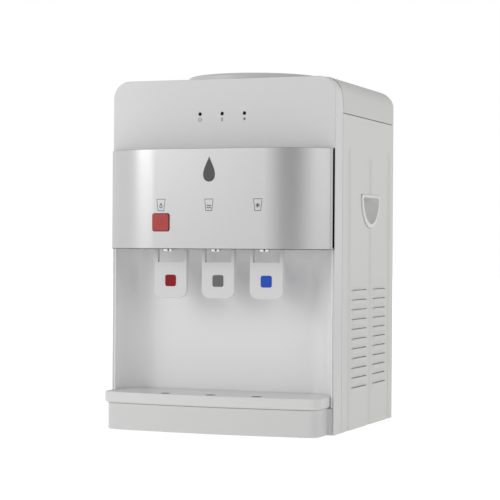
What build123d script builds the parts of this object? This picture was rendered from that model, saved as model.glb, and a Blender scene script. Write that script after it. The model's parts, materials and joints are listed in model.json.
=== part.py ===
from build123d import *

import math
import os

# Countertop water dispenser: a moulded case with a bottle seat on top, three push taps under a bowed
# hood, a cup alcove with a splash wall, and a drip tray that stands out at the foot.
#
# Every function draws its piece in the case frame: x = 0 in the middle, y = 0 on the front face with +y
# to the rear, z = 0 under the case. save() shifts each piece to the part's own frame, whose origin is
# under the middle of the whole object, on the surface that the feet rest on.

# Case
CASE_W = 340.0
CASE_D = 296.0
CASE_H = 501.0
COVER_RISE = 1.5
COVER_TOP = CASE_H + COVER_RISE
FOOT_H = 2.0
FOOT_R = 9.0
FOOT_X = 130.0
FOOT_FRONT_Y = -20.0
FOOT_REAR_Y = CASE_D - 30.0
WALL = 2.5
SIDE_WALL = 4.0
FRONT_WALL = 3.0
TOP_R = 25.0
REAR_EDGE_R = 8.0
FRAME_D = 33.0
SEAM_Z = 451.7
GAP = 0.4
SEAM_GAP = 1.1

# Slanted seam between the front frame and the top cover, seen from the side
SEAM_LOW_Y = 36.5
SEAM_HIGH_Y = 27.0
SEAM_HIGH_Z = 487.0
SEAM_SLANT_GAP = 2.5

# Alcove and its splash wall
ALCOVE_Y = 45.0
ALCOVE_FLAT = 118.0
COVE_R = 47.0
COVE_Y = ALCOVE_Y - COVE_R
SHELF_Z = 37.5
HOOD_Z = 258.0

# Hood over the taps
HOOD_TOP = 399.5
HOOD_Y = -48.0
HOOD_FLAT = 82.0
HOOD_R = 114.0
HOOD_END_X = 166.0
HOOD_BACK_X = 167.5
HOOD_BACK_Y = -3.8
HOOD_SHADOW_X = 169.2
HOOD_SHADOW_Y = 6.0
HOOD_GROOVE = 0.7
HOOD_END_Y = HOOD_Y + HOOD_R - math.sqrt(HOOD_R**2 - (HOOD_END_X - HOOD_FLAT) ** 2)

# Taps
TAP_NAMES = ("hot", "ambient", "cold")
TAP_PITCH = 73.0
TAP_X = {"hot": -TAP_PITCH, "ambient": 0.0, "cold": TAP_PITCH}
SPOUT_Y = -20.0
SPOUT_TIP = 254.5
SPOUT_R = 8.0
BODY_R = 11.0
BODY_LOW = 266.0
BODY_TOP = 290.0
BARREL_R = 8.0
BARREL_Z = 278.0
BARREL_END = 20.0
BRACKET_Y = 6.0
BRACKET_T = 2.0
PIVOT_Y = -7.0
PIVOT_Z = 292.0
PIN_R = 2.0
STEM_R = 2.5
CAP_R = 6.0
STEM_TOP = 307.1
CAP_H = 4.1
BAR_R = 2.5
BAR_Z = STEM_TOP + 0.3 + BAR_R
RUN_FIT = 0.05

# Paddle levers and their badges
LEVER_HALF = 25.0
ARM_T = 5.0
LEVER_LOW = 188.0
LEVER_Y = -12.0
LEVER_D = 6.5
LEVER_R = 12.0
PADDLE_TOP = 239.5
BADGE = 16.5
BADGE_Z = 213.0
BADGE_R = 3.0

# Child-lock button on the hood
BUTTON_W = 25.0
BUTTON_H = 24.0
BUTTON_R = 3.0
BUTTON_Z = 295.6
BUTTON_PROUD = 2.5

# Indicators on the front face
LAMP_PITCH = 34.0
LAMP_Z = 451.3
LAMP_HOLE_R = 2.75

# Drip tray
TRAY_HALF = 164.0
TRAY_Y = -58.0
TRAY_BOW = 12.0
TRAY_R = 16.0
TRAY_TOP = 54.0
TRAY_SETBACK = 4.0
TRAY_UNDER_R = 4.0
GRID_DROP = 0.5
GRID_T = 2.5
DRAIN_PITCH = 69.0
DRAIN_R = 8.0
DRAIN_Y = -37.0

# Side panels
GROOVE_W = 17.0
GROOVE_DEPTH = 2.3
GROOVES = ((64.0, 398.0), (166.5, 388.0), (263.0, 402.0))
LOUVRE_ROWS = 11
LOUVRE_PITCH = 14.0
LOUVRE_LOW = 60.0
LOUVRE_SLIT = 1.6
LOUVRES = ((80.0, 153.0), (183.0, 249.0))
GRIP_Y = 170.0
GRIP_TOP = 336.0
GRIP_R = 39.0
GRIP_RIM = 6.0
GRIP_PROUD = 1.5
GRIP_DEPTH = 26.0
GRIP_RELIEF = 4.5

# Bottle seat
SEAT_Y = 145.0
SEAT_R = 105.0
SEAT_H = 11.0
SEAT_HOLE_R = 97.0
THROAT_R = 29.0

# Inside
TANK_R = 72.0
TANK_LOW = 300.0
TANK_TOP = 425.0
HOT_X = -50.0
HOT_Y = 140.0
HOT_R = 45.0
HOT_LOW = 120.0
HOT_TOP = 250.0
FAN_Z = 355.0
FAN_Y = 263.5
FAN_SIDE = 92.0
FAN_T = 20.0
HOSE_R = 6.0
HOSE_BORE = 4.0

# Rear fittings
SWITCH_X = {"hot_switch": 70.0, "cold_switch": 100.0}
SWITCH_Z = 95.0
SWITCH_Y = CASE_D - 9.0
SWITCH_REST = -7.0
GLAND_X = 85.0
GLAND_Z = 45.0
GLAND_BORE = 4.0
DRAIN_X = -90.0
DRAIN_Z = 35.0

# Screws of the rear panel
SCREW_X = 146.0
SCREW_LEVELS = (25.0, 225.0, 425.0)
SCREW_R = 1.6
SCREW_HEAD_R = 3.5
SCREW_HEAD = 1.4
CROSS_REACH = 2.2
CROSS_HALF = 0.4

# The whole object runs from the front of the tray to the rear of the case
ORIGIN_Y = -(CASE_D + TRAY_Y) / 2


def block(x, y, z):
    """A box between pairs of limits."""
    middle = Pos((x[0] + x[1]) / 2, (y[0] + y[1]) / 2, (z[0] + z[1]) / 2)
    return middle * Box(x[1] - x[0], y[1] - y[0], z[1] - z[0])


def along_x(sketch, x0, x1):
    """Extrude a sketch in (y, z) from x0 to x1."""
    return extrude(Plane.YZ.offset(x0) * sketch, amount=x1 - x0)


def along_y(sketch, y0, y1):
    """Extrude a sketch in (x, z) from y0 to y1."""
    return extrude(Plane.XZ.offset(-y0) * sketch, amount=-(y1 - y0))


def along_z(sketch, z0, z1):
    """Extrude a sketch in (x, y) from z0 to z1."""
    return extrude(Plane.XY.offset(z0) * sketch, amount=z1 - z0)


def rod_x(radius, y, z, x0, x1):
    return along_x(Pos(y, z) * Circle(radius), x0, x1)


def rod_y(radius, x, z, y0, y1):
    return along_y(Pos(x, z) * Circle(radius), y0, y1)


def rod_z(radius, x, y, z0, z1):
    return along_z(Pos(x, y) * Circle(radius), z0, z1)


def mirrored(shape):
    """The same shape on the other side of the middle plane."""
    return mirror(shape, about=Plane.YZ)


def soften(shape, edges, radius):
    """Round the edges, or leave the shape as it is where the kernel can't."""
    try:
        rounded = fillet(edges, radius)
    except Exception:
        return shape
    return rounded if rounded.is_valid else shape


# ---------------------------------------------------------------- case


def case_block(inset, front, bottom, top):
    """The outside of the case drawn in by inset, with rounded top edges and rear corners."""
    half = CASE_W / 2 - inset
    body = block((-half, half), (front, CASE_D - inset), (bottom, top - inset))
    sides = body.edges().filter_by(Axis.Y).group_by(Axis.Z)[-1]
    rear = body.edges().filter_by(Axis.X).group_by(Axis.Z)[-1].sort_by(Axis.Y)[-1:]
    body = fillet(sides + rear, TOP_R - inset)
    uprights = body.edges().filter_by(Axis.Z).group_by(Axis.Y)[-1]
    return soften(body, uprights, REAR_EDGE_R - inset)


def case_shell(wall, top=CASE_H):
    outer = case_block(0, 0, 0, top)
    return outer - case_block(wall, FRONT_WALL, -1, top)


def frame_region(gap, slant_gap):
    """The front slice of the case, up to its slanted seam, grown by the gaps of the seams."""
    rear = FRAME_D + gap
    above = COVER_TOP + 1
    outline = Polyline(
        (-1, -1),
        (rear, -1),
        (rear, SEAM_Z),
        (SEAM_LOW_Y + slant_gap, SEAM_Z),
        (SEAM_HIGH_Y + slant_gap, SEAM_HIGH_Z),
        (SEAM_HIGH_Y + gap, SEAM_HIGH_Z + TOP_R / 4),
        (SEAM_HIGH_Y + gap, above),
        (-1, above),
        close=True,
    )
    return along_x(make_face(outline), -CASE_W, CASE_W)


def front_frame():
    """Upper front face with its lamp holes, and the strips that run down both sides."""
    frame = case_shell(WALL) & frame_region(0, 0)
    opening_half = CASE_W / 2 - WALL
    frame -= block((-opening_half, opening_half), (-1, FRONT_WALL + 1), (-1, HOOD_TOP - 2))
    for step in (-1, 0, 1):
        frame -= rod_y(LAMP_HOLE_R, step * LAMP_PITCH, LAMP_Z, -1, FRONT_WALL + 1)
    outline = frame.edges().group_by(Axis.Y)[0].filter_by(lambda edge: edge.length > 20)
    frame = soften(frame, outline, 1.0)
    for side in (-1, 1):
        reach = sorted((side * (opening_half - 1), side * HOOD_SHADOW_X))
        frame -= block(reach, (-1, HOOD_SHADOW_Y), (HOOD_Z, HOOD_TOP + 0.6))
    return frame


def top_cover():
    """Lid with a skirt at the sides and rear, open in the middle for the bottle seat."""
    cover = case_shell(WALL, COVER_TOP) - frame_region(SEAM_GAP, SEAM_SLANT_GAP)
    cover &= block((-CASE_W, CASE_W), (0, CASE_D + 1), (SEAM_Z, COVER_TOP + 1))
    cover -= rod_z(SEAT_HOLE_R, 0, SEAT_Y, SEAM_Z, COVER_TOP + 1)
    return cover


def groove_tool(y, top):
    """Cutter for one shallow upright groove of the right panel, with a round top end."""
    radius = ((GROOVE_W / 2) ** 2 + GROOVE_DEPTH**2) / (2 * GROOVE_DEPTH)
    x = CASE_W / 2 - GROOVE_DEPTH + radius
    return rod_z(radius, x, y, -1, top) + Pos(x, y, top) * Sphere(radius)


def half_moon(radius):
    """Half-moon outline in (y, z) with its flat side up, around the opening of the grip."""
    top = GRIP_TOP + 0.6 * (radius - GRIP_R)
    moon = Pos(GRIP_Y, GRIP_TOP) * Circle(radius)
    keep = Pos(GRIP_Y, top - radius) * Rectangle(2 * radius, 2 * radius)
    moon = moon & keep
    return fillet(moon.vertices(), 4)


def louvre_slit(y0, y1, z):
    """One through slot with round ends."""
    slot = SlotOverall(y1 - y0, LOUVRE_SLIT)
    return along_x(Pos((y0 + y1) / 2, z) * slot, CASE_W / 2 - 2 * SIDE_WALL, CASE_W / 2 + 1)


def right_side_panel():
    """Side panel with upright grooves, louvres, the opening for its grip cup, and a flange for screws."""
    panel = case_shell(SIDE_WALL) - frame_region(SEAM_GAP, SEAM_GAP)
    lip_x = CASE_W / 2 - 2 * REAR_EDGE_R
    panel &= block((lip_x, CASE_W), (0, CASE_D + 1), (0, SEAM_Z - SEAM_GAP))
    for y, top in GROOVES:
        panel -= groove_tool(y, top)
    for y0, y1 in LOUVRES:
        for row in range(LOUVRE_ROWS):
            panel -= louvre_slit(y0, y1, LOUVRE_LOW + row * LOUVRE_PITCH)
    opening = half_moon(GRIP_R + GRIP_RIM + GAP)
    for shift in (0, -GRIP_RELIEF):
        panel -= Pos(0, shift, 0) * along_x(opening, CASE_W / 2 - 2 * SIDE_WALL, CASE_W / 2 + 1)
    rear = CASE_D - WALL - GAP
    flange = block((SCREW_X - 8, lip_x + 2), (rear - WALL, rear), (10, SEAM_Z - 10))
    for z in SCREW_LEVELS:
        flange -= rod_y(SCREW_R + RUN_FIT, SCREW_X, z, rear - WALL - 1, rear + 1)
    return panel + flange


def right_grip_cup():
    """Half-moon finger cup that snaps in from inside: a rim in the panel's opening, a pocket, a flange."""
    face_x = CASE_W / 2 + GRIP_PROUD
    flange_x = CASE_W / 2 - SIDE_WALL - GAP
    rim = along_x(half_moon(GRIP_R + GRIP_RIM), flange_x, face_x)
    rim = soften(rim, rim.edges().group_by(Axis.X)[-1], 1.2)
    cup = rim + along_x(half_moon(GRIP_R + GRIP_RIM + 2 * GRIP_RELIEF), flange_x - WALL, flange_x)
    cup += along_x(half_moon(GRIP_R + WALL), CASE_W / 2 - GRIP_DEPTH - WALL, flange_x)
    return cup - along_x(half_moon(GRIP_R), CASE_W / 2 - GRIP_DEPTH, face_x + 1)


def rear_panel():
    """Flat rear panel with a fan grille and cut-outs for the switches, cord gland and drain."""
    half = CASE_W / 2 - 2 * REAR_EDGE_R - GAP
    panel = block((-half, half), (CASE_D - WALL, CASE_D), (0, SEAM_Z - SEAM_GAP))
    for row in range(9):
        z = FAN_Z - 40 + row * 10
        chord = math.sqrt(46**2 - (z - FAN_Z) ** 2)
        panel -= along_y(Pos(0, z) * SlotOverall(2 * chord, 4), CASE_D - 5, CASE_D + 1)
    for row in range(8):
        z = 130 + row * 12
        for x in (-95, 0, 95):
            panel -= along_y(Pos(x, z) * SlotOverall(64, 3), CASE_D - 5, CASE_D + 1)
    for x in SWITCH_X.values():
        panel -= block((x - 8.3, x + 8.3), (CASE_D - 5, CASE_D + 1), (SWITCH_Z - 12.3, SWITCH_Z + 12.3))
    panel -= rod_y(9.3, GLAND_X, GLAND_Z, CASE_D - 5, CASE_D + 1)
    panel -= rod_y(14, DRAIN_X, DRAIN_Z, CASE_D - 5, CASE_D + 1)
    for x in (-SCREW_X, SCREW_X):
        for z in SCREW_LEVELS:
            panel -= rod_y(SCREW_R + RUN_FIT, x, z, CASE_D - 5, CASE_D + 1)
            panel -= rod_y(SCREW_HEAD_R + RUN_FIT, x, z, CASE_D - SCREW_HEAD, CASE_D + 1)
    return panel


def base_plate():
    """Floor of the case, inside the side panels and behind the tray shelf."""
    half = CASE_W / 2 - SIDE_WALL - GAP
    plate = block((-half, half), (FRAME_D + 1, CASE_D - SIDE_WALL - GAP), (0, WALL))
    rear_corners = plate.edges().filter_by(Axis.Z).group_by(Axis.Y)[-1]
    plate = fillet(rear_corners, REAR_EDGE_R)
    for x in (-120, -60, 0, 60, 120):
        plate -= along_z(Pos(x, 230) * SlotOverall(40, 4), -1, WALL + 1)
    return plate


def rubber_feet():
    """Front feet under the skirt of the tray shelf, rear feet under the base plate."""
    places = [(x, y) for x in (-FOOT_X, FOOT_X) for y in (FOOT_FRONT_Y, FOOT_REAR_Y)]
    feet = [rod_z(FOOT_R, x, y, -FOOT_H, 0) for x, y in places]
    feet = [soften(foot, foot.edges().group_by(Axis.Z)[0], 0.8) for foot in feet]
    return Compound(children=feet)


# ---------------------------------------------------------------- alcove and tray


def cove_half(y, radius):
    """Half-width of the alcove at depth y, for a cove of the given radius."""
    return ALCOVE_FLAT + math.sqrt(radius**2 - (y - COVE_Y) ** 2)


def alcove_face(radius, front):
    """Plan of the alcove from its front to the back wall, with coved corners."""
    half = cove_half(front, radius)
    back = COVE_Y + radius
    turn = math.radians(45)
    mid = (ALCOVE_FLAT + radius * math.cos(turn), COVE_Y + radius * math.sin(turn))
    right = ThreePointArc((half, front), mid, (ALCOVE_FLAT, back))
    wall = Line((ALCOVE_FLAT, back), (-ALCOVE_FLAT, back))
    left = ThreePointArc((-ALCOVE_FLAT, back), (-mid[0], mid[1]), (-half, front))
    mouth = Line((-half, front), (half, front))
    return make_face([right, wall, left, mouth])


def splash_panel():
    """Splash wall, its coved cheeks, and the ceiling of the alcove with notches for the levers."""
    skin = 2.4
    wall = alcove_face(COVE_R + skin, 0) - alcove_face(COVE_R, 0)
    panel = along_z(wall, SHELF_Z + GAP, HOOD_Z + skin)
    panel += along_z(alcove_face(COVE_R + skin, 0), HOOD_Z, HOOD_Z + skin)
    for x in TAP_X.values():
        notch = LEVER_HALF + 3
        panel -= block((x - notch, x + notch), (-1, 10), (HOOD_Z - 1, HOOD_Z + skin + 1))
    return panel


def tray_face(setback, rear):
    """Plan of the tray in front of the case: bowed front edge and rounded corners."""
    half = TRAY_HALF - setback
    corner_y = TRAY_Y + TRAY_BOW + setback
    front = ThreePointArc((-half, corner_y), (0, TRAY_Y + setback), (half, corner_y))
    right = Line((half, corner_y), (half, rear))
    back = Line((half, rear), (-half, rear))
    left = Line((-half, rear), (-half, corner_y))
    face = make_face([front, right, back, left])
    return fillet(face.vertices().group_by(Axis.Y)[0], TRAY_R - setback / 2)


def tray_plan(inset):
    """Whole plan of the tray, from its bowed front to the splash wall."""
    front = tray_face(inset, 0)
    rear = alcove_face(COVE_R - 1 - inset, 0)
    return front + rear


def tray_shelf():
    """Foot of the front: a skirt under the tray, and the shelf that carries it into the alcove."""
    skirt = along_z(tray_face(TRAY_SETBACK, -GAP), 0, SHELF_Z)
    skirt -= along_z(tray_face(TRAY_SETBACK + FRONT_WALL, -GAP - FRONT_WALL), -1, SHELF_Z - FRONT_WALL)
    shelf = along_z(alcove_face(COVE_R - 1, -GAP), SHELF_Z - FRONT_WALL, SHELF_Z)
    back = block((-ALCOVE_FLAT, ALCOVE_FLAT), (ALCOVE_Y - 1 - FRONT_WALL, ALCOVE_Y - 1), (WALL + GAP, SHELF_Z))
    half = CASE_W / 2 - WALL - GAP
    front = block((-half, half), (-GAP, FRONT_WALL - GAP), (0, SHELF_Z))
    shelf += skirt + back + front
    for x in (-FOOT_X, FOOT_X):
        shelf += rod_z(FOOT_R + 1, x, FOOT_FRONT_Y, 0, SHELF_Z - 1)
    return shelf


def drip_tray():
    """Open tray with a thick rim; it draws forward off its shelf."""
    tray = along_z(tray_plan(0), SHELF_Z + GAP, TRAY_TOP)
    for level, radius in ((0, TRAY_UNDER_R), (-1, 1.5)):
        edges = tray.edges().group_by(Axis.Z)[level]
        tray = soften(tray, edges.filter_by(lambda edge: edge.center().Y < -5), radius)
    ledge = TRAY_TOP - GRID_DROP - GRID_T
    tray -= along_z(tray_plan(3), ledge, TRAY_TOP + 1)
    return tray - along_z(tray_plan(6), SHELF_Z + GAP + WALL, TRAY_TOP)


def drip_grid():
    """Cup plate that drops into the tray, with a barred drain hole before each tap."""
    top = TRAY_TOP - GRID_DROP
    low = top - GRID_T + 0.05
    grid = along_z(tray_plan(3 + GAP), low, top)
    for step in (-1, 0, 1):
        x = step * DRAIN_PITCH
        grid -= rod_z(DRAIN_R, x, DRAIN_Y, low - 1, top + 1)
        for side in (-1, 1):
            bar_x = x + side * DRAIN_R / 3
            grid += block((bar_x - 0.6, bar_x + 0.6), (DRAIN_Y - DRAIN_R, DRAIN_Y + DRAIN_R), (low, top - 1.2))
    return grid


# ---------------------------------------------------------------- hood and taps


def hood_face(inset):
    """Plan of the hood: flat in the middle, curved back to both ends, which return square to the case."""
    radius = HOOD_R - inset
    centre_y = HOOD_Y + HOOD_R
    end_x = HOOD_END_X - inset
    end_y = centre_y - math.sqrt(radius**2 - (end_x - HOOD_FLAT) ** 2)
    turn = math.asin((end_x - HOOD_FLAT) / radius) / 2
    mid = (HOOD_FLAT + radius * math.sin(turn), centre_y - radius * math.cos(turn))
    front = HOOD_Y + inset
    back_x = HOOD_BACK_X - inset
    return make_face(
        [
            Line((-HOOD_FLAT, front), (HOOD_FLAT, front)),
            ThreePointArc((HOOD_FLAT, front), mid, (end_x, end_y)),
            Line((end_x, end_y), (back_x, HOOD_BACK_Y)),
            Line((back_x, HOOD_BACK_Y), (-back_x, HOOD_BACK_Y)),
            Line((-back_x, HOOD_BACK_Y), (-end_x, end_y)),
            ThreePointArc((-end_x, end_y), (-mid[0], mid[1]), (-HOOD_FLAT, front)),
        ]
    )


def tap_hood():
    """Bowed hood over the tap works: a shell open at the rear, notched below for the levers."""
    hood = along_z(hood_face(0), HOOD_Z, HOOD_TOP)
    bottom = hood.edges().group_by(Axis.Z)[0].filter_by(lambda edge: edge.center().Y < HOOD_BACK_Y - 1)
    top = hood.edges().group_by(Axis.Z)[-1].filter_by(lambda edge: edge.center().Y < HOOD_BACK_Y - 1)
    ends = hood.edges().filter_by(Axis.Z).filter_by(lambda edge: abs(edge.center().X) > HOOD_END_X - 0.1)
    ends = ends.filter_by(lambda edge: edge.center().Y < HOOD_BACK_Y - 1)
    hood = soften(hood, bottom + top + ends, 1.2)
    cavity = along_z(hood_face(WALL), HOOD_Z + WALL, HOOD_TOP - WALL)
    cavity += block((-150, 150), (HOOD_BACK_Y - 3, 1), (HOOD_Z + WALL, HOOD_TOP - WALL))
    hood -= cavity
    for x in TAP_X.values():
        notch = LEVER_HALF + 3
        hood -= block((x - notch, x + notch), (-33, 1), (HOOD_Z - 1, HOOD_Z + WALL + 1))
    hole = fillet(Rectangle(BUTTON_W + 0.6, BUTTON_H + 0.6).vertices(), BUTTON_R + 0.3)
    hood -= along_y(Pos(TAP_X["hot"], BUTTON_Z) * hole, HOOD_Y - 1, HOOD_Y + WALL + 1)
    for side in (-1, 1):
        reach = sorted((side * (HOOD_END_X - HOOD_GROOVE), side * CASE_W / 2))
        hood -= block(reach, (HOOD_END_Y + 1.6, HOOD_END_Y + 1.6 + HOOD_GROOVE), (HOOD_Z - 1, HOOD_TOP + 1))
    for x in (-130, -40, 40, 130):
        hood += block((x - 6, x + 6), (HOOD_BACK_Y - 6, BRACKET_Y - GAP), (HOOD_TOP - 6.5, HOOD_TOP - WALL))
    return hood


def safety_button():
    """Child-lock button: a cap through the hood, a stop flange and a springy tongue behind it."""
    back = HOOD_Y + WALL
    cap = fillet(Rectangle(BUTTON_W, BUTTON_H).vertices(), BUTTON_R)
    button = along_y(Pos(TAP_X["hot"], BUTTON_Z) * cap, HOOD_Y - BUTTON_PROUD, back + 3)
    button = soften(button, button.edges().group_by(Axis.Y)[0], 0.8)
    flange = fillet(Rectangle(BUTTON_W + 4, BUTTON_H + 4).vertices(), BUTTON_R)
    button += along_y(Pos(TAP_X["hot"], BUTTON_Z) * flange, back + 0.3, back + 2)
    tongue_z = BUTTON_Z + 8
    x = TAP_X["hot"]
    button += block((x - 4, x + 4), (back + 2, back + 7), (tongue_z - 1, tongue_z + 1))
    return button


def tap_bracket():
    """Pressed steel plate that carries the three tap bodies inside the front frame."""
    half = CASE_W / 2 - WALL - GAP
    plate = block((-half, half), (BRACKET_Y, BRACKET_Y + BRACKET_T), (HOOD_Z + 4, HOOD_TOP - 4))
    for x in TAP_X.values():
        plate -= rod_y(BARREL_R + 0.3, x, BARREL_Z, 0, 2 * BRACKET_Y)
    for x in (-110, -37, 37, 110):
        plate -= rod_y(9, x, 350, 0, 2 * BRACKET_Y)
    flange = block((-half, half), (BRACKET_Y, 22), (HOOD_TOP - 4 - BRACKET_T, HOOD_TOP - 4))
    return plate + flange


def tap_body(x):
    """Valve body: upright chamber, barrel through the bracket, and the lug of the lever's pivot."""
    body = rod_z(BODY_R, x, SPOUT_Y, BODY_LOW, BODY_TOP)
    body = soften(body, body.edges(), 1.0)
    body += rod_z(SPOUT_R - 2, x, SPOUT_Y, HOOD_Z, BODY_LOW + 2)
    body += rod_y(BARREL_R, x, BARREL_Z, SPOUT_Y, BARREL_END)
    body += rod_y(BARREL_R + 4, x, BARREL_Z, BRACKET_Y - 3, BRACKET_Y)
    lug = PIN_R + 3.5
    body += block((x - 8, x + 8), (PIVOT_Y - lug, PIVOT_Y + lug), (BARREL_Z + 4, PIVOT_Z))
    body += rod_x(lug, PIVOT_Y, PIVOT_Z, x - 8, x + 8)
    body -= rod_z(STEM_R + RUN_FIT, x, SPOUT_Y, BODY_LOW, BODY_TOP + 1)
    body -= rod_z(3.5, x, SPOUT_Y, HOOD_Z - 1, BODY_LOW + 2)
    body -= rod_y(5, x, BARREL_Z, SPOUT_Y + 6, BARREL_END + 1)
    return body - rod_x(PIN_R, PIVOT_Y, PIVOT_Z, x - 9, x + 9)


def spout(x):
    tube = rod_z(SPOUT_R, x, SPOUT_Y, SPOUT_TIP, BODY_LOW)
    tube = soften(tube, tube.edges().group_by(Axis.Z)[0], 0.8)
    return tube - rod_z(SPOUT_R - 2, x, SPOUT_Y, SPOUT_TIP - 1, BODY_LOW + 1)


def tap_lever(x):
    """Paddle lever: a rimmed paddle, two side arms up to the pivot, and the bar over the valve stem."""
    rear = LEVER_Y + LEVER_D
    top = PADDLE_TOP + 20
    paddle = Pos(x, (LEVER_LOW + top) / 2) * Rectangle(2 * LEVER_HALF, top - LEVER_LOW)
    paddle = fillet(paddle.vertices().group_by(Axis.Y)[0], LEVER_R)
    lever = along_y(paddle, LEVER_Y, rear)
    lever = soften(lever, lever.edges().group_by(Axis.Y)[0].filter_by(lambda e: e.center().Z < top - 1), 1.2)
    inner = LEVER_HALF - 2
    hollow = Pos(x, (LEVER_LOW + 2 + PADDLE_TOP - 2) / 2) * Rectangle(2 * inner, PADDLE_TOP - LEVER_LOW - 4)
    hollow = fillet(hollow.vertices().group_by(Axis.Y)[0], LEVER_R - 2)
    lever -= along_y(hollow, LEVER_Y + 3, rear + 1)
    arm = LEVER_HALF - ARM_T
    lever -= block((x - arm, x + arm), (LEVER_Y - 1, rear + 1), (PADDLE_TOP, top + 1))
    side = make_face(
        Polyline(
            (LEVER_Y, top - 2),
            (rear, top - 2),
            (PIVOT_Y + 4.5, PIVOT_Z),
            (PIVOT_Y + 4.5, PIVOT_Z + 3),
            (SPOUT_Y + 5, BAR_Z + 4),
            (SPOUT_Y - 4, BAR_Z + 4),
            (SPOUT_Y - 4, BAR_Z - 4),
            (PIVOT_Y - 5, PIVOT_Z),
            close=True,
        )
    )
    for x0, x1 in ((x - LEVER_HALF, x - arm), (x + arm, x + LEVER_HALF)):
        lever += along_x(side, x0, x1)
    lever += rod_x(BAR_R, SPOUT_Y, BAR_Z, x - LEVER_HALF, x + LEVER_HALF)
    lever -= rod_x(PIN_R + RUN_FIT, PIVOT_Y, PIVOT_Z, x - LEVER_HALF - 1, x + LEVER_HALF + 1)
    return lever - badge_block(x, 0.05)


def badge_block(x, gap):
    """Rounded square that fills the window of the paddle, standing a little proud of it."""
    side = BADGE + 2 * gap
    face = fillet(Rectangle(side, side).vertices(), BADGE_R + gap)
    return along_y(Pos(x, BADGE_Z) * face, LEVER_Y - 0.8, LEVER_Y + 3.2)


def badge(x):
    plate = badge_block(x, 0)
    return soften(plate, plate.edges().group_by(Axis.Y)[0], 0.6)


def valve_stem(x):
    stem = rod_z(CAP_R, x, SPOUT_Y, STEM_TOP - CAP_H, STEM_TOP)
    stem = soften(stem, stem.edges().group_by(Axis.Z)[-1], 1)
    return stem + rod_z(STEM_R, x, SPOUT_Y, BODY_TOP - 18, STEM_TOP - CAP_H)


def valve_spring(x):
    """Helical spring between the valve body and the cap of the stem."""
    wire = 0.45
    low = BODY_TOP + wire + 0.1
    height = STEM_TOP - CAP_H - BODY_TOP - 2 * wire - 0.2
    path = Pos(x, SPOUT_Y, low) * Helix(pitch=height / 5, height=height, radius=4.2)
    section = Plane(origin=path @ 0, z_dir=path % 0) * Circle(wire)
    return sweep(section, path=path, is_frenet=True)


def pivot_pins():
    reach = LEVER_HALF + 0.5
    pins = [rod_x(PIN_R, PIVOT_Y, PIVOT_Z, x - reach, x + reach) for x in TAP_X.values()]
    return Compound(children=pins)


def tap_nuts():
    nuts = []
    low = BRACKET_Y + BRACKET_T
    for x in TAP_X.values():
        nut = along_y(Pos(x, BARREL_Z) * RegularPolygon(13, 6), low, low + 6)
        nuts.append(nut - rod_y(BARREL_R, x, BARREL_Z, low - 1, low + 7))
    return Compound(children=nuts)


# ---------------------------------------------------------------- indicators


def indicator_lenses():
    lenses = []
    for step in (-1, 0, 1):
        lens = rod_y(LAMP_HOLE_R - 0.15, step * LAMP_PITCH, LAMP_Z, 0.6, 7)
        lenses.append(soften(lens, lens.edges().group_by(Axis.Y)[0], 1))
    return Compound(children=lenses)


def indicator_board():
    board = block((-48, 48), (7, 8.6), (LAMP_Z - 9, LAMP_Z + 9))
    for x in (-42, 42):
        board += rod_y(3, x, LAMP_Z, FRONT_WALL, 7)
    return board


# ---------------------------------------------------------------- bottle seat and tanks


def bottle_collar():
    """Lift-out seat: a flat ring on the top cover, a funnel and the throat for the bottle's neck."""
    skin = 2.5
    lip = SEAT_HOLE_R - 7
    top = COVER_TOP + SEAT_H
    low = 452.0
    outline = Polyline(
        (THROAT_R, low),
        (THROAT_R, 482),
        (THROAT_R + 8, 490),
        (lip - 12, 498),
        (lip, top - 2),
        (lip + 4, top),
        (SEAT_R - 3, top),
        (SEAT_R, top - 3),
        (SEAT_R, COVER_TOP + 0.05),
        (lip + 4, COVER_TOP + 0.05),
        (lip + 4, COVER_TOP - 6),
        (THROAT_R + 8, 486),
        (THROAT_R + skin, 479),
        (THROAT_R + skin, low),
        close=True,
    )
    ring = revolve(Plane.XZ * make_face(outline), Axis.Z)
    floor = rod_z(THROAT_R + skin, 0, 0, low - skin, low) - rod_z(14, 0, 0, low - skin - 1, low + 1)
    return Pos(0, SEAT_Y, 0) * (ring + floor)


def bottle_probe():
    """Hollow spike that opens the bottle's cap and carries water down to the cold tank."""
    low = TANK_TOP - 15
    probe = rod_z(9, 0, SEAT_Y, low, 482)
    probe += Pos(0, SEAT_Y, 486) * Cone(9, 4, 8)
    probe += rod_z(13.9, 0, SEAT_Y, 446, 449.4)
    probe -= rod_z(5, 0, SEAT_Y, low - 1, 478)
    return probe - rod_x(3, SEAT_Y, 474, -12, 12)


def cold_tank():
    """Steel tank under the bottle seat, with its outlets below and the cooling block behind."""
    tank = rod_z(TANK_R, 0, SEAT_Y, TANK_LOW, TANK_TOP)
    for x, y in ((45, 100), (0, 85), (-30, 190)):
        tank += rod_z(HOSE_BORE, x, y, 276, TANK_LOW + 1)
    rear = SEAT_Y + TANK_R
    tank += block((-25, 25), (rear - 20, rear + 11), (FAN_Z - 25, FAN_Z + 25))
    tank -= rod_z(TANK_R - 1.5, 0, SEAT_Y, TANK_LOW + 1.5, TANK_TOP - 1.5)
    return tank - rod_z(20, 0, SEAT_Y, TANK_TOP - 5, TANK_TOP + 1)


def cold_jacket():
    """Foam jacket around the cold tank."""
    jacket = rod_z(TANK_R + 12, 0, SEAT_Y, TANK_LOW - 12, TANK_TOP)
    jacket -= rod_z(TANK_R, 0, SEAT_Y, TANK_LOW, TANK_TOP + 1)
    for x, y in ((45, 100), (0, 85), (-30, 190)):
        jacket -= rod_z(HOSE_R + 1, x, y, TANK_LOW - 13, TANK_LOW + 1)
    rear = SEAT_Y + TANK_R
    return jacket - block((-25.3, 25.3), (rear - 20, rear + 15), (FAN_Z - 25.3, FAN_Z + 25.3))


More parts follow.
